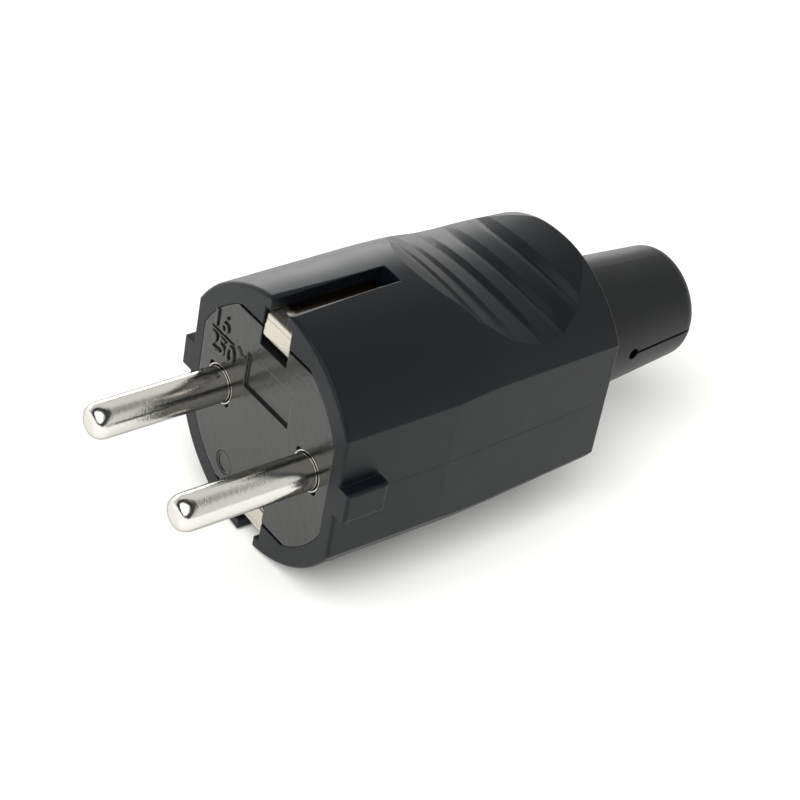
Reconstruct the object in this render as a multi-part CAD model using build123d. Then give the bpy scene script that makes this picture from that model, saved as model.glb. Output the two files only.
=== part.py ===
from build123d import *
import os
from math import cos, pi, radians, sin, sqrt

# Straight two-pole mains plug with side earth contacts, rewirable, in millimetres.
# The pins point to -X and the cable leaves to +X. Z is the earth contact axis, up.
# The origin is the centre of the mating face, on the plug's own axis.

# Contact pins: diameter, length and spacing are the standard ones for this plug.
pin_radius = 2.4
pin_length = 19.0
pin_half_spacing = 9.5
pin_tip_length = 2.2
pin_tip_flat_radius = 0.9
collar_radius = 2.7
collar_depth = 1.2
ear_radius = 0.58
ear_offset = 2.55
ear_angle = 45.0
ear_setback = 0.45
shank_radius = 2.0

# Hood: a round barrel with two side flats, tapered behind the middle.
barrel_radius = 18.3
barrel_length = 44.0
barrel_straight = 22.0
barrel_rear_radius = 17.0
flat_straight = 17.0
flat_rear_half_width = 14.6
taper_blend_radius = 90.0
rim_rounding = 0.45
rear_rounding = 0.35
rim_wall = 2.8
side_wall = 1.9
rear_wall = 3.5

# Guide lugs on the two flats.
lug_length = 6.1
lug_height = 4.3
lug_reach = 1.9
lug_rounding = 0.45

# Earth slots in the hood, top and bottom: a narrow mouth over a wide channel.
# The mouth's lips are bevelled, most at the mating face.
slot_mouth_width = 3.5
slot_length = 16.6
lip_thickness = 1.85
lip_bevel_drop = 0.4
lip_bevel_spread = 2.8

# Earth bow: one folded strip that shows in both slots.
strip_width = 5.3
strip_thickness = 0.8
strip_rear = 15.6
strip_bend_radius = 0.9
clip_nose = 0.35
clip_fold = 0.85
clip_lean = 0.25
clip_bottom_height = 12.1
clip_curl_length = 1.2
bow_rear_clearance = 0.2

# Contact carrier: the moulded insert that holds pins, bow and cable clamp.
carrier_half_height = 13.3
carrier_top_gap = 0.45
carrier_plate = 8.0
block_half_height = 7.0
terminal_housing_rear = 23.0
housing_wall = 1.1
pocket_depth = 6.0
pocket_floor_height = 10.8
panel_width = 9.5
panel_bottom = 3.0
panel_top = 8.2
panel_depth = 0.35
witness_radius = 1.7
witness_across = 6.3
witness_below = 10.4
witness_depth = 0.15
snap_length = 2.6
snap_height = 5.0
snap_reach = 0.55
snap_front = 3.6

# Terminals: a block on each pin's rear end, with a wire hole and a screw.
terminal_front = 10.0
terminal_length = 9.0
terminal_size = 6.0
wire_hole_radius = 1.5
wire_hole_depth = 7.0
screw_radius = 1.5
screw_head_radius = 2.4
screw_head_height = 1.7
screw_slot_width = 0.7
screw_slot_depth = 0.9
wire_funnel = 0.4
screw_end_fit = 0.2
terminal_screw_offset = 5.5
terminal_screw_rise = 1.6
terminal_screw_depth = 2.0
terminal_side_room = 0.85

# Earth terminal: a clamp plate between the housings, and a screw in the bow's middle.
clamp_plate_height = 7.0
clamp_plate_side_gap = 1.9
clamp_plate_thickness = 1.2
earth_screw_reach = 3.6

# Cable clamp on the carrier's tail.
cable_radius = 4.4
saddle_length = 6.0
saddle_to_flange = 2.8
saddle_half_width = 9.2
saddle_bottom = 7.0
clamp_seat_height = 2.4
clamp_bar_thickness = 2.8
clamp_screw_spacing = 13.2
clamp_screw_radius = 1.2
clamp_screw_head_radius = 1.8
clamp_screw_head_height = 1.5
clamp_screw_depth = 5.0
rail_width = 3.4
rail_top = 3.0

# Rear inner room of the hood and the bend sleeve that stands out of it.
cavity_step = 0.7
cavity_mid_end = 24.0
cavity_cone_length = 4.0
cavity_rear_radius = 11.3
sleeve_root_radius = 9.5
sleeve_end_radius = 7.6
sleeve_length = 22.0
sleeve_end_rounding = 2.0
sleeve_bore_radius = 4.6
sleeve_flange_thickness = 2.2
relief_hole_radius = 0.82
relief_hole_distance = 9.9
slit_width = 0.4

# Finger grips: a shallow scoop, top and bottom, with curved valleys across its floor.
# The floor's lowest place is ahead of the middle, and the valleys fade at both sides.
# The valleys' places are shares of the scoop's length.
grip_front = 20.1
grip_rear_margin = 0.4
grip_depth = 2.9
grip_forward_lean = 0.87
grip_hollowness = 1.15
grip_crown_radius = 27.0
grip_tilt = 28.0
grip_half_width = 15.5
grip_sections = 11
grip_headroom = 8.0
valley_places = (0.102, 0.238, 0.4085, 0.5787, 0.766)
valley_depth = 0.35
valley_depth_growth = 0.07
valley_front_width = 1.0
valley_front_growth = 0.15
valley_rear_width = 0.6
valley_rear_growth = 0.12
valley_shoulder = 0.25
valley_reach = 13.5
valley_least = 0.12

# Clearances, and how far a cutter runs past what it cuts.
fit = 0.1
pin_fit = 0.03
screw_fit = 0.05
strip_fit = 0.15
overcut = 1.0
pick = 0.01

# Sizes that follow from the ones above.
inner_half_width = pin_half_spacing + terminal_size / 2 + terminal_side_room
cavity_half_width = inner_half_width + cavity_step
flat_half_width = cavity_half_width + side_wall
cavity_radius = barrel_radius - rim_wall
carrier_radius = cavity_radius - fit
carrier_half_width = cavity_half_width - fit
strip_top = barrel_radius - lip_thickness
strip_middle = strip_top - strip_thickness / 2
channel_half_width = strip_width / 2 + strip_fit
strip_leg = strip_rear - strip_thickness / 2
inner_radius = cavity_radius - cavity_step
cavity_end = barrel_length - rear_wall
sleeve_end = barrel_length + sleeve_length
relief_hole_place = barrel_length + relief_hole_distance
saddle_rear = cavity_end - sleeve_flange_thickness - saddle_to_flange
saddle_front = saddle_rear - saddle_length
grip_rear = barrel_length - grip_rear_margin
flange_radius = cavity_rear_radius - fit
terminal_rear = terminal_front + terminal_length
housing_inner = pin_half_spacing - terminal_size / 2 - housing_wall
clamp_plate_half_width = housing_inner - clamp_plate_side_gap
bow_seat = strip_rear - strip_thickness - fit


def box_between(low, high):
    """Return the box from its low corner to its high corner."""
    size = [b - a for a, b in zip(low, high)]
    middle = [(a + b) / 2 for a, b in zip(low, high)]
    return Pos(*middle) * Box(*size)


def cylinder_x(radius, start, end, across=0.0, up=0.0):
    """Return a cylinder along X between two places."""
    place = Pos((start + end) / 2, across, up) * Rot(0, 90, 0)
    return place * Cylinder(radius, end - start)


def cylinder_y(radius, start, end, along=0.0, up=0.0):
    """Return a cylinder along Y between two places."""
    place = Pos(along, (start + end) / 2, up) * Rot(90, 0, 0)
    return place * Cylinder(radius, end - start)


def cylinder_z(radius, start, end, along=0.0, across=0.0):
    """Return a cylinder along Z between two heights."""
    return Pos(along, across, (start + end) / 2) * Cylinder(radius, end - start)


def turned(points):
    """Revolve a closed outline of (along, radius) points about the plug's axis."""
    corners = [(along, 0, radius) for along, radius in points]
    outline = make_face(Polyline(*corners, close=True))
    return revolve(outline, Axis.X)


def both_heights(shape):
    """Return a shape and its mirror image under the XY plane."""
    return shape + mirror(shape, Plane.XY)


def both_sides(shape):
    """Return a shape and its mirror image across the XZ plane."""
    return shape + mirror(shape, Plane.XZ)


def rounded_flat_prism(radius, half_width, half_height, start, end):
    """Return a disc with two side flats and flats at the top and bottom, along X."""
    disc = cylinder_x(radius, start, end)
    return disc & box_between((start, -half_width, -half_height), (end, half_width, half_height))


def slotted_screw(radius, length, head_radius, head_height):
    """Return a cheese-head screw, its head on the XY plane and its shank below."""
    head = Pos(0, 0, head_height / 2) * Cylinder(head_radius, head_height)
    shank = Pos(0, 0, -length / 2) * Cylinder(radius, length)
    slot_middle = head_height - screw_slot_depth / 2
    slot = Pos(0, 0, slot_middle) * Box(2 * head_radius + overcut, screw_slot_width, screw_slot_depth)
    return head + shank - slot


def barrel():
    """Return the outer barrel: a turned form cut to its two side flats."""
    profile = FilletPolyline(
        (0, 0, 0),
        (0, 0, barrel_radius),
        (barrel_straight, 0, barrel_radius),
        (barrel_length, 0, barrel_rear_radius),
        (barrel_length, 0, 0),
        radius=[rim_rounding, taper_blend_radius, rear_rounding],
    )
    axis_line = Line((barrel_length, 0, 0), (0, 0, 0))
    solid = revolve(make_face(profile + axis_line), Axis.X)
    straight_side = FilletPolyline(
        (0, 0, 0),
        (0, flat_half_width, 0),
        (flat_straight, flat_half_width, 0),
        radius=rim_rounding,
    )
    tapered_side = FilletPolyline(
        (flat_straight, flat_half_width, 0),
        (barrel_length, flat_rear_half_width, 0),
        (barrel_length, 0, 0),
        radius=rear_rounding,
    )
    half_plan = make_face(straight_side + tapered_side + axis_line)
    slab = extrude(half_plan, barrel_radius + overcut, dir=(0, 0, 1), both=True)
    return solid & both_sides(slab)


def grip_floor_height(along):
    """Return the height of the scoop's floor over the plug's axis at a place along X."""
    share = (along - grip_front) / (grip_rear - grip_front)
    uncut = barrel_radius - share * (barrel_radius - barrel_rear_radius)
    inside = min(max(share, 0.0), 1.0)
    hollow = sin(pi * inside ** grip_forward_lean) ** grip_hollowness
    return uncut - grip_depth * hollow


def grip_section(across):
    """Return the scoop's outline in one plane along the plug, with its valleys."""
    sag = grip_crown_radius - sqrt(grip_crown_radius ** 2 - across ** 2)
    back = sag * sin(radians(grip_tilt))
    down = sag * cos(radians(grip_tilt))
    fade = max(valley_least, 1 - (across / valley_reach) ** 2)

    def at(along, height):
        return (along + back, across, height - down)

    first = grip_front - overcut
    last = grip_rear + overcut
    ceiling = barrel_radius + grip_headroom
    edges = []
    here = at(first, grip_floor_height(first))
    for number, share in enumerate(valley_places):
        middle = grip_front + share * (grip_rear - grip_front)
        depth = (valley_depth + number * valley_depth_growth) * fade
        front = middle - valley_front_width - number * valley_front_growth
        rear = middle + valley_rear_width + number * valley_rear_growth
        edge = at(front, grip_floor_height(front))
        bottom = at(middle, grip_floor_height(middle) - depth)
        riser_top = at(rear, grip_floor_height(rear))
        shoulder = (
            (edge[0] + bottom[0]) / 2,
            across,
            (edge[2] + bottom[2]) / 2 + valley_shoulder * depth,
        )
        edges += [Line(here, edge), ThreePointArc(edge, shoulder, bottom)]
        edges.append(Line(bottom, riser_top))
        here = riser_top
    end = at(last, grip_floor_height(last))
    start = at(first, grip_floor_height(first))
    edges.append(Polyline(here, end, at(last, ceiling), at(first, ceiling), start))
    return make_face(edges)


def grip_cutter():
    """Return the scoop, lofted through its outlines from one side to the other."""
    step = 2 * grip_half_width / (grip_sections - 1)
    places = [number * step - grip_half_width for number in range(grip_sections)]
    return loft([grip_section(across) for across in places])


def lugs():
    """Return the two guide lugs, rooted in the flats, flush with the mating face."""
    root = cavity_half_width + fit
    tip = flat_half_width + lug_reach
    half = lug_height / 2
    lug = box_between((0, root, -half), (lug_length, tip, half))
    outer = lug.edges().filter_by_position(Axis.Y, tip - pick, tip + pick)
    return both_sides(fillet(outer, lug_rounding))


def earth_slots():
    """Return what the earth bow's room and its two mouths take out of the hood."""
    mouth_half = slot_mouth_width / 2
    mouth = box_between((-overcut, -mouth_half, 0), (slot_length, mouth_half, barrel_radius + overcut))
    channel_end = strip_rear + bow_rear_clearance
    channel_half = channel_half_width
    channel = box_between((-overcut, -channel_half, 0), (channel_end, channel_half, strip_top))
    return both_heights(mouth + channel + lip_bevel())


def lip_bevel():
    """Return a V-shaped cutter that climbs rearwards out of the barrel along the mouth."""
    mouth_half = slot_mouth_width / 2
    climb = lip_bevel_drop / slot_length
    bottom = barrel_radius - lip_bevel_drop - climb * overcut
    top = bottom + lip_bevel_drop + overcut
    top_half = mouth_half + (top - bottom) * lip_bevel_spread
    section = Polyline(
        (-overcut, -mouth_half, bottom),
        (-overcut, mouth_half, bottom),
        (-overcut, top_half, top),
        (-overcut, -top_half, top),
        close=True,
    )
    direction = Vector(slot_length, 0, lip_bevel_drop)
    return extrude(make_face(section), direction.length + overcut, dir=direction.normalized())


def hood_room():
    """Return the hollow inside the hood, from the carrier's seat to the rear wall."""
    opening_half_height = carrier_half_height + carrier_top_gap
    seat = rounded_flat_prism(
        cavity_radius, cavity_half_width, opening_half_height, -overcut, carrier_plate
    )
    middle = rounded_flat_prism(
        inner_radius, inner_half_width, opening_half_height, carrier_plate - overcut, cavity_mid_end
    )
    cone_end = cavity_mid_end + cavity_cone_length
    cone = turned([
        (cavity_mid_end - overcut, 0),
        (cavity_mid_end - overcut, inner_half_width),
        (cavity_mid_end, inner_half_width),
        (cone_end, cavity_rear_radius),
        (cavity_end, cavity_rear_radius),
        (cavity_end, 0),
    ])
    passage = cylinder_x(sleeve_root_radius + fit, cavity_end - overcut, barrel_length + overcut)
    return seat + middle + cone + passage


def snap_pockets():
    """Return the two pockets in the hood's side walls for the carrier's snaps."""
    half = snap_height / 2 + fit
    top = cavity_half_width + snap_reach + fit
    rear = snap_front + snap_length + fit
    pocket = box_between((snap_front - fit, 0, -half), (rear, top, half))
    return both_sides(pocket)


def hood():
    """Return the one-piece hood."""
    shell = barrel() + lugs()
    shell = shell - both_heights(grip_cutter())
    shell = shell - hood_room() - earth_slots() - snap_pockets()
    return shell


def pin_seats():
    """Return the holes, collar seats and ear notches for both pins."""
    hole = cylinder_x(shank_radius + pin_fit, -overcut, terminal_front, pin_half_spacing)
    seat = cylinder_x(collar_radius + pin_fit, -overcut, collar_depth, pin_half_spacing)
    notch_radius = ear_radius + pin_fit
    return both_sides(hole + seat) + ears(notch_radius, 1, 0) + ears(notch_radius, -1, 0)


def ears(radius, side, front):
    """Return the two small ears beside one pin's collar, on a slanting line."""
    middle = side * pin_half_spacing
    across = ear_offset * cos(radians(ear_angle))
    up = ear_offset * sin(radians(ear_angle))
    upper = cylinder_x(radius, front, collar_depth, middle + across, up)
    lower = cylinder_x(radius, front, collar_depth, middle - across, -up)
    return upper + lower


def carrier():
    """Return the moulded contact carrier."""
    body = rounded_flat_prism(
        carrier_radius, carrier_half_width, carrier_half_height, 0, carrier_plate - fit
    )
    block_half_width = inner_half_width - fit
    body += rounded_flat_prism(
        inner_radius - fit, block_half_width, block_half_height, carrier_plate - overcut, bow_seat
    )
    housing = box_between(
        (bow_seat - overcut, housing_inner, -block_half_height),
        (terminal_housing_rear, block_half_width, terminal_size / 2),
    )
    room_end = cylinder_x(inner_radius - fit, bow_seat - overcut, terminal_housing_rear)
    body += both_sides(housing & room_end)
    body += both_sides(snap_wedge())
    body += tail()
    body -= pin_seats()
    body -= terminal_rooms()
    body -= clip_pockets()
    body -= earth_screw_room()
    body -= panel()
    return body


def snap_wedge():
    """Return one snap: a wedge that rises rearwards from the carrier's flat."""
    low = carrier_half_width - overcut
    top = carrier_half_width + snap_reach
    front = snap_front + snap_length
    points = [
        (snap_front, low, 0),
        (front, low, 0),
        (front, carrier_half_width, 0),
        (snap_front, top, 0),
    ]
    face = make_face(Polyline(*points, close=True))
    return extrude(face, snap_height / 2, dir=(0, 0, 1), both=True)


def terminal_rooms():
    """Return the rooms for both terminal blocks, open at the top and the rear."""
    half = terminal_size / 2 + fit
    room = box_between(
        (terminal_front - fit, pin_half_spacing - half, -half),
        (terminal_rear + fit, pin_half_spacing + half, block_half_height + overcut),
    )
    wire = cylinder_x(
        wire_hole_radius + wire_funnel, terminal_rear, terminal_housing_rear + overcut, pin_half_spacing
    )
    return both_sides(room + wire)


def clip_pockets():
    """Return the two front pockets that the earth clips' ends dip into."""
    pocket = box_between(
        (-overcut, -channel_half_width, pocket_floor_height),
        (pocket_depth, channel_half_width, carrier_half_height + overcut),
    )
    return both_heights(pocket)


def earth_screw_room():
    """Return the blind hole in the carrier for the earth screw's end."""
    return cylinder_x(screw_radius + screw_end_fit, bow_seat - earth_screw_reach, bow_seat + overcut)


def panel():
    """Return the shallow plain panel and the witness mark in the mating face."""
    half = panel_width / 2
    recess = box_between((-overcut, -half, panel_bottom), (panel_depth, half, panel_top))
    witness = cylinder_x(witness_radius, -overcut, witness_depth, witness_across, -witness_below)
    return recess + witness


def tail():
    """Return the rails and the cable saddle behind the terminal housings."""
    saddle = box_between(
        (saddle_front, -saddle_half_width, -saddle_bottom),
        (saddle_rear, saddle_half_width, clamp_seat_height),
    )
    rail = box_between(
        (terminal_housing_rear - overcut, saddle_half_width - rail_width, -saddle_bottom),
        (saddle_front + overcut, saddle_half_width, -rail_top),
    )
    trough = cylinder_x(cable_radius, saddle_front - overcut, saddle_rear + overcut)
    gap = box_between(
        (saddle_front - overcut, -cable_radius, 0),
        (saddle_rear + overcut, cable_radius, clamp_seat_height + overcut),
    )
    screw_hole = cylinder_z(
        clamp_screw_radius + screw_fit,
        clamp_seat_height - clamp_screw_depth - fit,
        clamp_seat_height + overcut,
        saddle_front + saddle_length / 2,
        clamp_screw_spacing / 2,
    )
    room = cylinder_x(cavity_rear_radius - fit, terminal_housing_rear - overcut, saddle_rear)
    frame = (saddle + both_sides(rail)) & room
    return frame - trough - gap - both_sides(screw_hole)


def pin(side):
    """Return one contact pin with its collar, set-back ears and terminal block."""
    across = side * pin_half_spacing
    tip_start = -pin_length + pin_tip_length
    profile = Polyline((tip_start, 0, 0), (collar_depth, 0, 0), (collar_depth, 0, pin_radius),
                       (tip_start, 0, pin_radius))
    dome = Spline(
        (tip_start, 0, pin_radius),
        (-pin_length, 0, pin_tip_flat_radius),
        tangents=[(-1, 0, 0), (0, 0, -1)],
    )
    end = Polyline((-pin_length, 0, pin_tip_flat_radius), (-pin_length, 0, 0), (tip_start, 0, 0))
    rod = Pos(0, across, 0) * revolve(make_face(profile + dome + end), Axis.X)
    collar = cylinder_x(collar_radius, 0, collar_depth, across)
    shank = cylinder_x(shank_radius, 0, terminal_front + overcut, across)
    half = terminal_size / 2
    block = box_between(
        (terminal_front, across - half, -half), (terminal_rear, across + half, half)
    )
    wire_hole = cylinder_x(wire_hole_radius, terminal_rear - wire_hole_depth,
                           terminal_rear + overcut, across)
    screw_hole = cylinder_z(screw_radius + screw_fit, 0, half + overcut,
                            terminal_front + terminal_screw_offset, across)
    own_ears = ears(ear_radius, side, ear_setback)
    return rod + collar + own_ears + shank + block - wire_hole - screw_hole


def terminal_screw(side):
    """Return the screw that clamps a wire in one terminal block."""
    seat = terminal_size / 2 + terminal_screw_rise
    length = terminal_screw_rise + terminal_screw_depth
    place = Pos(terminal_front + terminal_screw_offset, side * pin_half_spacing, seat)
    return place * slotted_screw(screw_radius, length, screw_head_radius, screw_head_height)


def earth_bow():
    """Return the folded earth strip: two clips, two long legs and the cross leg."""
    nose = clip_nose + strip_thickness / 2
    top_half = [
        (nose + clip_curl_length - clip_lean, 0, clip_bottom_height),
        (nose - clip_lean, 0, clip_bottom_height),
        (nose, 0, strip_middle - clip_fold),
        (nose + clip_fold, 0, strip_middle),
        (strip_leg, 0, strip_middle),
    ]
    bottom_half = [(x, y, -z) for x, y, z in reversed(top_half)]
    path = FilletPolyline(*top_half, *bottom_half, radius=strip_bend_radius / 2)
    start = Plane(origin=top_half[0], x_dir=(0, 1, 0), z_dir=(-1, 0, 0))
    section = start * Rectangle(strip_width, strip_thickness)
    bow = sweep(section, path)
    hole = cylinder_x(screw_radius + screw_fit, 0, strip_rear + overcut)
    return bow - hole


def earth_clamp_plate():
    """Return the plate that presses the earth wire on the bow."""
    half = clamp_plate_height / 2
    plate_rear = strip_rear + clamp_plate_thickness
    plate = box_between(
        (strip_rear, -clamp_plate_half_width, -half),
        (plate_rear, clamp_plate_half_width, half),
    )
    return plate - cylinder_x(screw_radius + screw_fit, strip_rear - overcut, plate_rear + overcut)


def earth_screw():
    """Return the earth terminal's screw, its head on the clamp plate."""
    seat = strip_rear + clamp_plate_thickness
    length = seat - (bow_seat - earth_screw_reach + fit)
    screw = slotted_screw(screw_radius, length, screw_head_radius, screw_head_height)
    return Pos(seat, 0, 0) * Rot(0, 90, 0) * screw


def clamp_bar():
    """Return the bar that clamps the cable on the saddle."""
    half = saddle_half_width - fit
    bar = box_between(
        (saddle_front + fit, -half, clamp_seat_height),
        (saddle_rear - fit, half, clamp_seat_height + clamp_bar_thickness),
    )
    arch = cylinder_x(cable_radius, saddle_front - overcut, saddle_rear + overcut)
    hole = cylinder_z(
        clamp_screw_radius + screw_fit,
        clamp_seat_height - overcut,
        clamp_seat_height + clamp_bar_thickness + overcut,
        saddle_front + saddle_length / 2,
        clamp_screw_spacing / 2,
    )
    return bar - arch - both_sides(hole)


def clamp_screw(side):
    """Return one screw of the cable clamp."""
    length = clamp_bar_thickness + clamp_screw_depth
    screw = slotted_screw(
        clamp_screw_radius, length, clamp_screw_head_radius, clamp_screw_head_height
    )
    place = Pos(
        saddle_front + saddle_length / 2,
        side * clamp_screw_spacing / 2,
        clamp_seat_height + clamp_bar_thickness,
    )
    return place * screw


def bend_sleeve():
    """Return the soft sleeve: inner flange, tapered neck, cable bore and relief slit."""
    flange_front = cavity_end - sleeve_flange_thickness
    neck = turned([
        (flange_front, 0),
        (flange_front, flange_radius),
        (cavity_end - fit, flange_radius),
        (cavity_end - fit, sleeve_root_radius),
        (barrel_length, sleeve_root_radius),
        (sleeve_end, sleeve_end_radius),
        (sleeve_end, 0),
    ])
    end_edges = neck.edges().filter_by_position(Axis.X, sleeve_end - pick, sleeve_end + pick)
    neck = fillet(end_edges, sleeve_end_rounding)
    neck -= cylinder_x(sleeve_bore_radius, flange_front - overcut, sleeve_end + overcut)
    outside = -sleeve_root_radius - overcut
    relief = cylinder_y(relief_hole_radius, outside, 0, relief_hole_place)
    slit = box_between(
        (relief_hole_place, outside, -slit_width / 2), (sleeve_end + overcut, 0, slit_width / 2)
    )
    return neck - relief - slit


os.makedirs("parts", exist_ok=True)
pieces = {
    "hood": hood(),
    "contact_carrier": carrier(),
    "pin_left": pin(1),
    "pin_right": pin(-1),
    "terminal_screw_left": terminal_screw(1),
    "terminal_screw_right": terminal_screw(-1),
    "earth_bow": earth_bow(),
    "earth_clamp_plate": earth_clamp_plate(),
    "earth_screw": earth_screw(),
    "cable_clamp_bar": clamp_bar(),
    "clamp_screw_left": clamp_screw(1),
    "clamp_screw_right": clamp_screw(-1),
    "bend_sleeve": bend_sleeve(),
}
for name, shape in pieces.items():
    export_step(shape, f"parts/{name}.step")
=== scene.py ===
import bmesh
import bpy
import numpy as np
from mathutils import Matrix, Vector


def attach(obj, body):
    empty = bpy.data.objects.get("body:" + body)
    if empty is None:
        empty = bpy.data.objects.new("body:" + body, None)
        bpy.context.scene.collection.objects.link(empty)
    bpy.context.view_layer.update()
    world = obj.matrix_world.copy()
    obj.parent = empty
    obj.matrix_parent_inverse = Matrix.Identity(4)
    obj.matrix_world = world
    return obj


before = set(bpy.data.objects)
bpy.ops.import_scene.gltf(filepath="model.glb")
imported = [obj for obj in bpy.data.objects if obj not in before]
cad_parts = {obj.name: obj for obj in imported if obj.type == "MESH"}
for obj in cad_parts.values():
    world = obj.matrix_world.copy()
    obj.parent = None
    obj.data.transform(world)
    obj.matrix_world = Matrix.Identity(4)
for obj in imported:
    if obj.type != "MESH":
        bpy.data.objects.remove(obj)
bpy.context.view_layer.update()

# Camera: where the photograph was taken from, with the plug standing level and the
# camera tipped about its own view by 11 degrees. The lens is a long portrait lens.
camera_place = Vector((-0.15811, -0.19041, 0.19202))
camera_right = Vector((0.79229, -0.59001, 0.15543))
camera_up = Vector((0.26190, 0.55896, 0.78675))
camera_back = Vector((-0.55107, -0.58263, 0.59739))
camera_turn = Matrix((camera_right, camera_up, camera_back)).transposed()

camera_data = bpy.data.cameras.new("camera")
camera_data.sensor_width = 36.0
camera_data.lens = 114.85
camera_data.clip_start = 0.01
camera = bpy.data.objects.new("camera", camera_data)
camera.matrix_world = Matrix.Translation(camera_place) @ camera_turn.to_4x4()
bpy.context.scene.collection.objects.link(camera)
bpy.context.scene.camera = camera


# Floor: a wide sheet of white studio paper, matt, lying just under the barrel. Its edges
# are so far away that the camera never sees them.
def linear(colour):
    """Return an sRGB hex colour as linear red, green, blue and an alpha of one. Of each
    shade from 0 to 1, the darkest are divided by 12.92. The others get 0.055 added, are
    divided by 1.055 and raised to the power 2.4."""
    shades = [int(colour[i:i + 2], 16) / 255 for i in (1, 3, 5)]
    parts = [s / 12.92 if s <= 0.04045 else ((s + 0.055) / 1.055) ** 2.4 for s in shades]
    return (*parts, 1.0)


def material_tree(name):
    """Return a new node material, its tree and its shader, which is joined to the output."""
    material = bpy.data.materials.new(name)
    material.use_nodes = True
    tree = material.node_tree
    return material, tree, tree.nodes["Principled BSDF"]


def add(tree, kind, links=(), **settings):
    """Add one node. Settings name its own properties, or its inputs by name, or by number
    after an i. Links are pairs of an input's name or number and the socket that feeds it."""
    node = tree.nodes.new(kind)
    for key, value in settings.items():
        slot = key.replace("_", " ")
        if hasattr(node, key):
            setattr(node, key, value)
        elif slot in node.inputs:
            node.inputs[slot].default_value = value
        else:
            node.inputs[int(key[1:])].default_value = value
    for slot, socket in links:
        tree.links.new(socket, node.inputs[slot])
    return node


def grid_mesh(name, points, tube=False, loop=False):
    """Make a mesh from a grid of points of shape (rows, columns, 3). Each cell of four
    neighbouring points is one face. In a tube each row is a ring, so its last point is
    joined to its first. A tube's first and last rings are closed by one face each, or
    joined to each other in a loop."""
    rows, columns = points.shape[:2]
    index = np.arange(rows * columns).reshape(rows, columns)
    ends = [index[0].tolist(), index[-1, ::-1].tolist()] if tube and not loop else []
    if tube:
        index = np.hstack([index, index[:, :1]])
    if loop:
        index = np.vstack([index, index[:1]])
    corners = [index[:-1, :-1], index[1:, :-1], index[1:, 1:], index[:-1, 1:]]
    faces = np.stack(corners, axis=-1).reshape(-1, 4).tolist() + ends
    mesh = bpy.data.meshes.new(name)
    mesh.from_pydata(points.reshape(-1, 3).tolist(), [], faces)
    mesh.polygons.foreach_set("use_smooth", np.ones(len(faces), bool))
    return mesh


def place(name, mesh, material):
    """Put a mesh in the scene with one material."""
    piece = bpy.data.objects.new(name, mesh)
    mesh.materials.append(material)
    bpy.context.scene.collection.objects.link(piece)
    return piece


floor_reach = 4.0
floor_level = -0.0183
floor_points = 21

paper, tree, shader = material_tree("matt white studio paper")
shader.inputs["Base Color"].default_value = linear("#f8f8f6")
shader.inputs["Roughness"].default_value = 0.9
shader.inputs["Specular IOR Level"].default_value = 0.1
side = np.linspace(-floor_reach, floor_reach, floor_points)
x, y = np.meshgrid(side, side, indexing="ij")
sheet = np.stack([x, y, np.full(x.shape, floor_level)], axis=-1)
floor = place("floor", grid_mesh("floor", sheet), paper)


# Light: a white tent round a white table. A low panel behind the plug whitens the far side of
# the barrel, and a large soft box over the camera's left lights the paper without a glint.
# Round the box the tent is dark, but for a round white window that shows on the pins' domes.
aim_point = Vector((0.02, 0.0, 0.0))
box_direction = (-0.587, -0.284, 0.758)


def soft_light(name, shape, place_at, width, height, radiance, glints):
    """Hang one area light that faces the plug. Its power is its brightness times the area
    of its rectangle times pi."""
    data = bpy.data.lights.new(name, "AREA")
    data.shape = shape
    data.size = width
    data.size_y = height
    data.energy = radiance * width * height * np.pi
    light = bpy.data.objects.new(name, data)
    light.location = place_at
    aim = aim_point - Vector(place_at)
    light.rotation_euler = aim.to_track_quat("-Z", "Y").to_euler()
    light.visible_glossy = glints
    bpy.context.scene.collection.objects.link(light)


soft_light("low_back_panel", "RECTANGLE", (0.21, 0.97, 0.11), 1.3, 0.32, 4.6, True)
soft_light("left_soft_box", "ELLIPSE", (-0.62, -0.30, 0.80), 1.3, 1.3, 2.35, False)

# The tent's strength goes by the cosine of the angle from the soft box's direction: dark
# within 60 degrees of it, and bright again within 36.
room = bpy.data.worlds.new("white tent")
room.use_nodes = True
tree = room.node_tree
direction = add(tree, "ShaderNodeTexCoord").outputs["Generated"]
toward_box = add(tree, "ShaderNodeVectorMath", [(0, direction)], operation="DOT_PRODUCT",
                 i1=box_direction)
dark_side = add(tree, "ShaderNodeMapRange", [("Value", toward_box.outputs["Value"])],
                interpolation_type="SMOOTHSTEP", From_Min=0.36, From_Max=0.50,
                To_Min=0.86, To_Max=0.05)
window = add(tree, "ShaderNodeMapRange", [("Value", toward_box.outputs["Value"])],
             interpolation_type="SMOOTHSTEP", From_Min=0.77, From_Max=0.81,
             To_Min=0.0, To_Max=1.6)
tent = add(tree, "ShaderNodeMath", [(0, dark_side.outputs["Result"]),
                                    (1, window.outputs["Result"])], operation="ADD")
tree.links.new(tent.outputs["Value"], tree.nodes["Background"].inputs["Strength"])
tree.nodes["Background"].inputs["Color"].default_value = linear("#f6f6f4")
bpy.context.scene.world = room
bpy.context.scene.view_settings.view_transform = "Standard"


# Hood: one moulding of black polyamide that carries every other piece. Its mould was spark
# eroded, which leaves a fine matt grain, and its two halves met in a line along the flats.
def clothe(node, material):
    """Give a CAD node's object one material."""
    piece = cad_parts[node]
    piece.data.materials.clear()
    piece.data.materials.append(material)


# The grain is 0.1 mm on the real hood and drawn at 0.22 mm, so that it shows. It gives the
# eye a soft, slightly speckled grey sheen, wider bands of uneven gloss where the melt flowed,
# and a hair-thin bright edge. Grain takes part of the gloss away, so the level is low.
hood_grain = 0.00022
flow_band = 0.004
moulded_edge = 0.00025

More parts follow.
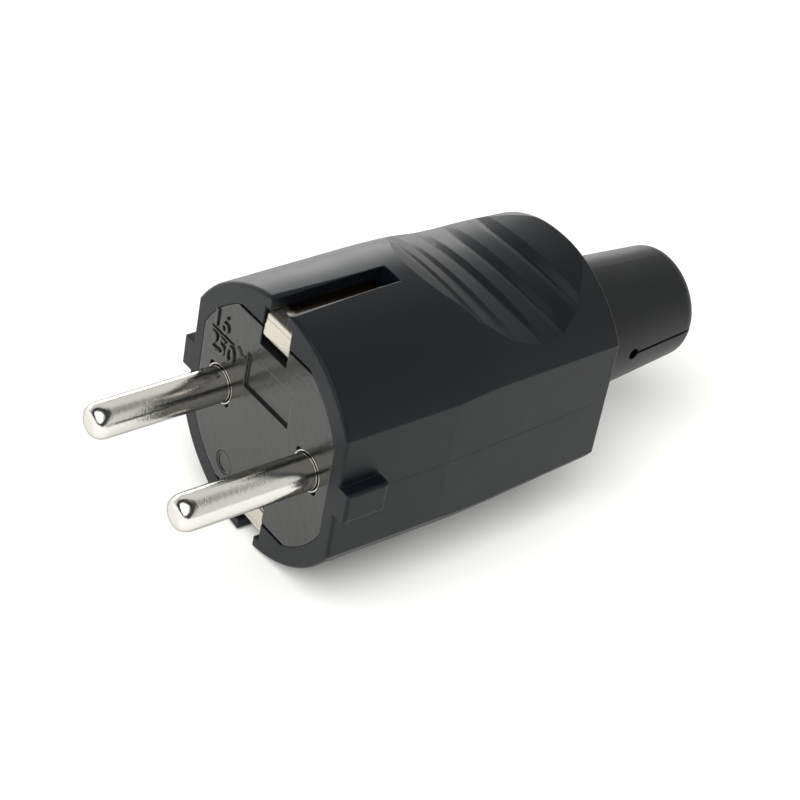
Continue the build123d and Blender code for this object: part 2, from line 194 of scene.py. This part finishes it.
hood_plastic, tree, shader = material_tree("spark-eroded black polyamide")
where = add(tree, "ShaderNodeTexCoord").outputs["Object"]
fine = add(tree, "ShaderNodeTexNoise", [("Vector", where)], Scale=1 / hood_grain, Detail=3.0)
flow = add(tree, "ShaderNodeTexNoise", [("Vector", where)], Scale=1 / flow_band, Detail=2.0)
gloss = add(tree, "ShaderNodeMapRange", [("Value", flow.outputs["Fac"])],
            From_Min=0.3, From_Max=0.7, To_Min=0.39, To_Max=0.43)
edge = add(tree, "ShaderNodeBevel", samples=6, Radius=moulded_edge)
grain_bump = add(tree, "ShaderNodeBump", [("Height", fine.outputs["Fac"]),
                                          ("Normal", edge.outputs["Normal"])],
                 Strength=0.35, Distance=0.00003)
tree.links.new(gloss.outputs["Result"], shader.inputs["Roughness"])
tree.links.new(grain_bump.outputs["Normal"], shader.inputs["Normal"])
shader.inputs["Base Color"].default_value = linear("#090d12")
shader.inputs["IOR"].default_value = 1.53
shader.inputs["Specular IOR Level"].default_value = 0.24
clothe("hood", hood_plastic)


# Parting lines: where the two halves of the hood's mould met, a little plastic was pressed
# out between them. It stands as a hair-thin ridge along the middle of each side flat, from
# the guide lug back to the hood's rear edge, and is one with the hood.
line_width = 0.00008
line_relief = 0.000012
line_points = 97
flat_front = (0.0060, 0.01595)
flat_bend = (0.0170, 0.01595)
flat_rear = (0.0439, 0.01460)
ring_corners = 16


def ridge(name, path, out, width, relief, loop=False):
    """Make a low ridge along a path on a surface. Each ring is an ellipse round a point of
    the path: cosine times half the width sideways, sine times the relief outwards, so its
    lower half lies in the surface. Sideways is at right angles to the path and to outwards.
    Unless it is a loop, both sizes are multiplied by the square root of 1.02 minus s to the
    power 14, where s runs from -1 to 1 along the path, which rounds the two ends."""
    along = np.roll(path, -1, 0) - np.roll(path, 1, 0) if loop else np.gradient(path, axis=0)
    along /= np.linalg.norm(along, axis=1)[:, None]
    side = np.cross(along, out)[:, None]
    angle = np.linspace(0, 2 * np.pi, ring_corners, endpoint=False)[:, None]
    taper = np.sqrt(1.02 - np.linspace(-1, 1, len(path)) ** 14)[:, None, None]
    ring = side * np.cos(angle) * width / 2 + np.array(out) * np.sin(angle) * relief
    ring = ring if loop else ring * taper
    return grid_mesh(name, path[:, None] + ring, tube=True, loop=loop)


for name, hand in (("parting_line_left", 1), ("parting_line_right", -1)):
    x = np.linspace(flat_front[0], flat_rear[0], line_points)
    y = np.interp(x, *np.transpose([flat_front, flat_bend, flat_rear]))
    path = np.stack([x, hand * y, np.zeros(line_points)], axis=-1)
    mesh = ridge(name, path, (0.0, hand, 0.0), line_width, line_relief)
    line = place(name, mesh, hood_plastic)
    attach(line, "root")


# Contact carrier: a snap-in insert of the same black polyamide from a polished mould. It
# holds the pins, the earth bow and the clamp for the cable, whose bar is the same plastic.
sink_patch = 0.0011
carrier_grain = 0.00025

# The polish gives a wet gloss over a faint unevenness of about 1 mm, so that the pins'
# reflections in it are ragged at their sides.
carrier_plastic, tree, shader = material_tree("polished black polyamide")
where = add(tree, "ShaderNodeTexCoord").outputs["Object"]
sink = add(tree, "ShaderNodeTexNoise", [("Vector", where)], Scale=1 / sink_patch, Detail=1.0)
fine = add(tree, "ShaderNodeTexNoise", [("Vector", where)], Scale=1 / carrier_grain, Detail=2.0)
edge = add(tree, "ShaderNodeBevel", samples=6, Radius=moulded_edge)
sink_bump = add(tree, "ShaderNodeBump", [("Height", sink.outputs["Fac"]),
                                         ("Normal", edge.outputs["Normal"])],
                Strength=0.5, Distance=0.00006)
fine_bump = add(tree, "ShaderNodeBump", [("Height", fine.outputs["Fac"]),
                                         ("Normal", sink_bump.outputs["Normal"])],
                Strength=0.12, Distance=0.00002)
gloss = add(tree, "ShaderNodeMapRange", [("Value", fine.outputs["Fac"])],
            From_Min=0.3, From_Max=0.7, To_Min=0.16, To_Max=0.24)
tree.links.new(gloss.outputs["Result"], shader.inputs["Roughness"])
tree.links.new(fine_bump.outputs["Normal"], shader.inputs["Normal"])
shader.inputs["Base Color"].default_value = linear("#131413")
shader.inputs["IOR"].default_value = 1.53
shader.inputs["Specular IOR Level"].default_value = 0.56
clothe("contact_carrier", carrier_plastic)
clothe("cable_clamp_bar", carrier_plastic)


# Rating numerals: plain raised figures on the insert's face, current over voltage with a bar
# and a wave between, and a plain ring in the round mark below. They are cut into the mould,
# so they are one with the insert. Places on the face are given across, along Y, and up.
upper_centre = (0.0107, 0.0088)
lower_centre = (0.0099, 0.0053)
numeral_height = 0.0036
numeral_relief = 0.00022
numeral_edge = 0.00003
numeral_swell = 0.00002
weld_distance = 1e-6
wave_centre = (0.0062, 0.0071)
wave_length = 0.0021
wave_swing = 0.00038
bar_ends = (0.0127, 0.0076)
stroke_width = 0.00042
stroke_points = 49
mark_centre = (0.0063, -0.0104)
mark_radius = 0.00145
mark_floor = 0.00015
mark_width = 0.00034
mark_relief = 0.00014
mark_points = 96
face_turn = Matrix(((0, 0, -1), (-1, 0, 0), (0, 1, 0))).to_4x4()


def raised_figures(name, figures, centre):
    """Return plain figures as a closed mesh standing out of the mating face. The text is
    made a mesh first, turned so that its baseline runs towards -Y, and its seams welded."""
    text = bpy.data.curves.new(name, "FONT")
    text.body = figures
    text.size = numeral_height
    text.align_x = "CENTER"
    text.align_y = "CENTER"
    text.extrude = numeral_relief
    text.bevel_depth = numeral_edge
    text.offset = numeral_swell
    holder = bpy.data.objects.new(name, text)
    bpy.context.scene.collection.objects.link(holder)
    solid = bpy.data.meshes.new_from_object(
        holder.evaluated_get(bpy.context.evaluated_depsgraph_get()))
    bpy.data.objects.remove(holder)
    solid.transform(Matrix.Translation((0, *centre)) @ face_turn)
    welded = bmesh.new()
    welded.from_mesh(solid)
    bmesh.ops.remove_doubles(welded, verts=welded.verts, dist=weld_distance)
    welded.to_mesh(solid)
    welded.free()
    return solid


# The bar's path is a straight line, the wave's is one period of a sine, and the ring's is a
# circle on the floor of the round mark.
steps = np.linspace(0, 1, stroke_points)
on_face = np.zeros(stroke_points)
bar_path = np.stack([on_face, bar_ends[0] + (bar_ends[1] - bar_ends[0]) * steps,
                     on_face + wave_centre[1]], axis=-1)
wave_path = np.stack([on_face, wave_centre[0] + wave_length * (0.5 - steps),
                      wave_centre[1] + wave_swing * np.sin(2 * np.pi * steps)], axis=-1)
angle = np.linspace(0, 2 * np.pi, mark_points, endpoint=False)
mark_path = np.stack([np.full(mark_points, mark_floor),
                      mark_centre[0] + mark_radius * np.cos(angle),
                      mark_centre[1] + mark_radius * np.sin(angle)], axis=-1)
to_front = (-1.0, 0.0, 0.0)
for name, mesh in (
    ("numerals_upper", raised_figures("numerals_upper", "16", upper_centre)),
    ("numerals_lower", raised_figures("numerals_lower", "250", lower_centre)),
    ("numerals_bar", ridge("numerals_bar", bar_path, to_front, stroke_width, numeral_relief)),
    ("numerals_wave", ridge("numerals_wave", wave_path, to_front, stroke_width, numeral_relief)),
    ("mark_ring", ridge("mark_ring", mark_path, to_front, mark_width, mark_relief, loop=True)),
):
    figure = place(name, mesh, carrier_plastic)
    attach(figure, "root")


# Contact pins: turned from brass bar and plated with bright nickel, with a domed tip. They
# are pressed into the insert up to a thin collar, and end in the terminal blocks inside.
pin_from_middle = 0.0095
# Painted shade: a ring of dark base colour round each pin inside its collar, its radius and
# where it starts along the pin.
shade_ring_radius = (0.00256, 0.00260)
shade_ring_start = (-0.00012, -0.00004)
ring_spacing = 0.000952
peel_size = 0.0002

# Turning leaves rings about 0.1 mm apart, drawn at 1 mm, so that they show: a wave of scale 1
# has its crests a tenth of pi apart. With the plating's faint orange peel they break up the
# edges of each reflection. Round each pin, inside its collar, the base colour is painted dark
# as the shade of a groove: painted shade.
pin_nickel, tree, shader = material_tree("bright nickel on turned brass")
where = add(tree, "ShaderNodeTexCoord").outputs["Object"]
rings = add(tree, "ShaderNodeTexWave", [("Vector", where)], bands_direction="X",
            Scale=np.pi / 10 / ring_spacing, Distortion=0.6, Detail=1.0)
peel = add(tree, "ShaderNodeTexNoise", [("Vector", where)], Scale=1 / peel_size, Detail=3.0)
ring_bump = add(tree, "ShaderNodeBump", [("Height", rings.outputs["Fac"])],
                Strength=0.05, Distance=0.00002)
peel_bump = add(tree, "ShaderNodeBump", [("Height", peel.outputs["Fac"]),
                                         ("Normal", ring_bump.outputs["Normal"])],
                Strength=0.8, Distance=0.00002)
gloss = add(tree, "ShaderNodeMapRange", [("Value", peel.outputs["Fac"])],
            From_Min=0.3, From_Max=0.7, To_Min=0.08, To_Max=0.16)
tree.links.new(gloss.outputs["Result"], shader.inputs["Roughness"])
tree.links.new(peel_bump.outputs["Normal"], shader.inputs["Normal"])
along = add(tree, "ShaderNodeSeparateXYZ", [("Vector", where)])
aside = add(tree, "ShaderNodeMath", [(0, along.outputs["Y"])], operation="ABSOLUTE")
from_pin = add(tree, "ShaderNodeMath", [(0, aside.outputs["Value"])], operation="SUBTRACT",
               i1=pin_from_middle)
spoke = add(tree, "ShaderNodeCombineXYZ", [("Y", from_pin.outputs["Value"]),
                                           ("Z", along.outputs["Z"])])
radius = add(tree, "ShaderNodeVectorMath", [(0, spoke.outputs["Vector"])], operation="LENGTH")
inside = add(tree, "ShaderNodeMapRange", [("Value", radius.outputs["Value"])],
             From_Min=shade_ring_radius[0], From_Max=shade_ring_radius[1], To_Min=1.0, To_Max=0.0)
seated = add(tree, "ShaderNodeMapRange", [("Value", along.outputs["X"])],
             From_Min=shade_ring_start[0], From_Max=shade_ring_start[1])
groove_shade = add(tree, "ShaderNodeMath", [(0, inside.outputs["Result"]),
                                      (1, seated.outputs["Result"])], operation="MULTIPLY")
# Painted shade: the base colour turns dark in the ring round each pin, standing in for a shaded
# groove.
colour = add(tree, "ShaderNodeMix", [("Factor", groove_shade.outputs["Value"])], data_type="RGBA",
             i6=linear("#e1dfda"), i7=linear("#2a2823"))
tree.links.new(colour.outputs[2], shader.inputs["Base Color"])
shader.inputs["Metallic"].default_value = 1.0
shader.inputs["Specular Tint"].default_value = linear("#a9a7a3")
clothe("pin_left", pin_nickel)
clothe("pin_right", pin_nickel)


# Earth bow: one strip of spring bronze, folded so that its two noses wait at the mouths of
# the slots. Its colour is a pale nickel at the noses and dark brown further back along the legs.
rub_length = 0.0009
rub_thinness = 9.0
pale_to_dark_span = (0.0019, 0.0026)

# The noses give a warm bright gloss with faint rub marks along the strip, 0.9 mm long and
# 0.1 mm across. The legs give almost none.
bow_metal, tree, shader = material_tree("pale-nosed spring bronze")
where = add(tree, "ShaderNodeTexCoord").outputs["Object"]
stretch = add(tree, "ShaderNodeMapping", [("Vector", where)], Scale=(1.0, rub_thinness, 1.0))
rub = add(tree, "ShaderNodeTexNoise", [("Vector", stretch.outputs["Vector"])],
          Scale=1 / rub_length, Detail=3.0)
along = add(tree, "ShaderNodeSeparateXYZ", [("Vector", where)])
# The colour turns from pale to dark brown between 1.9 and 2.6 mm behind the face.
toward_dark_legs = add(tree, "ShaderNodeMapRange", [("Value", along.outputs["X"])],
             interpolation_type="SMOOTHSTEP", From_Min=pale_to_dark_span[0], From_Max=pale_to_dark_span[1])
colour = add(tree, "ShaderNodeMix", [("Factor", toward_dark_legs.outputs["Result"])], data_type="RGBA",
             i6=linear("#c8c3b7"), i7=linear("#463a2d"))
gloss = add(tree, "ShaderNodeMapRange", [("Value", rub.outputs["Fac"])],
            From_Min=0.3, From_Max=0.7, To_Min=0.14, To_Max=0.26)
rub_bump = add(tree, "ShaderNodeBump", [("Height", rub.outputs["Fac"])],
               Strength=0.12, Distance=0.00002)
tree.links.new(colour.outputs[2], shader.inputs["Base Color"])
tree.links.new(gloss.outputs["Result"], shader.inputs["Roughness"])
tree.links.new(rub_bump.outputs["Normal"], shader.inputs["Normal"])
shader.inputs["Metallic"].default_value = 1.0
clothe("earth_bow", bow_metal)


# Pressed lines: before the bow was folded, one thin line was pressed across each nose from
# behind. It stands out on the front just under the fold, and is one with the strip.
pressed_place = (0.00031, 0.0147)
pressed_half_length = 0.0026
pressed_width = 0.00013
pressed_relief = 0.00003
pressed_points = 33
nose_lean = 0.0814

across = np.linspace(-pressed_half_length, pressed_half_length, pressed_points)
for name, hand in (("pressed_line_upper", 1), ("pressed_line_lower", -1)):
    path = np.stack([np.full(pressed_points, pressed_place[0]), across,
                     np.full(pressed_points, hand * pressed_place[1])], axis=-1)
    to_front = (-np.cos(nose_lean), 0.0, hand * np.sin(nose_lean))
    line = place(name, ridge(name, path, to_front, pressed_width, pressed_relief), bow_metal)
    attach(line, "root")


# Screws and earth clamp plate: pressed steel under passivated zinc. They hold the wires and
# the cable inside the hood. Zinc crystals of about 0.5 mm give patches of grey and gloss.
crystal_size = 0.0005

screw_zinc, tree, shader = material_tree("passivated zinc on pressed steel")
where = add(tree, "ShaderNodeTexCoord").outputs["Object"]
crystals = add(tree, "ShaderNodeTexVoronoi", [("Vector", where)], Scale=1 / crystal_size)
patches = add(tree, "ShaderNodeMapRange", [("Value", crystals.outputs["Distance"])],
              To_Min=0.28, To_Max=0.42)
tone = add(tree, "ShaderNodeMix", [("Factor", crystals.outputs["Distance"])],
           data_type="RGBA", i6=linear("#c4c4c2"), i7=linear("#a9a8a1"))
tree.links.new(patches.outputs["Result"], shader.inputs["Roughness"])
tree.links.new(tone.outputs[2], shader.inputs["Base Color"])
shader.inputs["Metallic"].default_value = 1.0
for node in ("terminal_screw_left", "terminal_screw_right", "earth_clamp_plate", "earth_screw",
             "clamp_screw_left", "clamp_screw_right"):
    clothe(node, screw_zinc)


# Bend sleeve: one soft moulding of black thermoplastic rubber, held by its flange inside the
# hood. Its skin is duller than the hood's, with a fine leathery grain of 0.15 mm drawn at
# 0.3 mm, so that it shows, and a thin grey bloom in patches.
sleeve_grain = 0.0003
bloom_patch = 0.006
sleeve_edge = 0.0002

sleeve_rubber, tree, shader = material_tree("matt black thermoplastic rubber")
where = add(tree, "ShaderNodeTexCoord").outputs["Object"]
skin = add(tree, "ShaderNodeTexNoise", [("Vector", where)], Scale=1 / sleeve_grain, Detail=3.0)
bloom = add(tree, "ShaderNodeTexNoise", [("Vector", where)], Scale=1 / bloom_patch, Detail=2.0)
tone = add(tree, "ShaderNodeMix", [("Factor", bloom.outputs["Fac"])], data_type="RGBA",
           i6=linear("#050809"), i7=linear("#0b0e0f"))
gloss = add(tree, "ShaderNodeMapRange", [("Value", bloom.outputs["Fac"])],
            From_Min=0.3, From_Max=0.7, To_Min=0.40, To_Max=0.48)
edge = add(tree, "ShaderNodeBevel", samples=6, Radius=sleeve_edge)
skin_bump = add(tree, "ShaderNodeBump", [("Height", skin.outputs["Fac"]),
                                         ("Normal", edge.outputs["Normal"])],
                Strength=0.35, Distance=0.00003)
tree.links.new(tone.outputs[2], shader.inputs["Base Color"])
tree.links.new(gloss.outputs["Result"], shader.inputs["Roughness"])
tree.links.new(skin_bump.outputs["Normal"], shader.inputs["Normal"])
shader.inputs["IOR"].default_value = 1.5
shader.inputs["Specular IOR Level"].default_value = 0.32
clothe("bend_sleeve", sleeve_rubber)
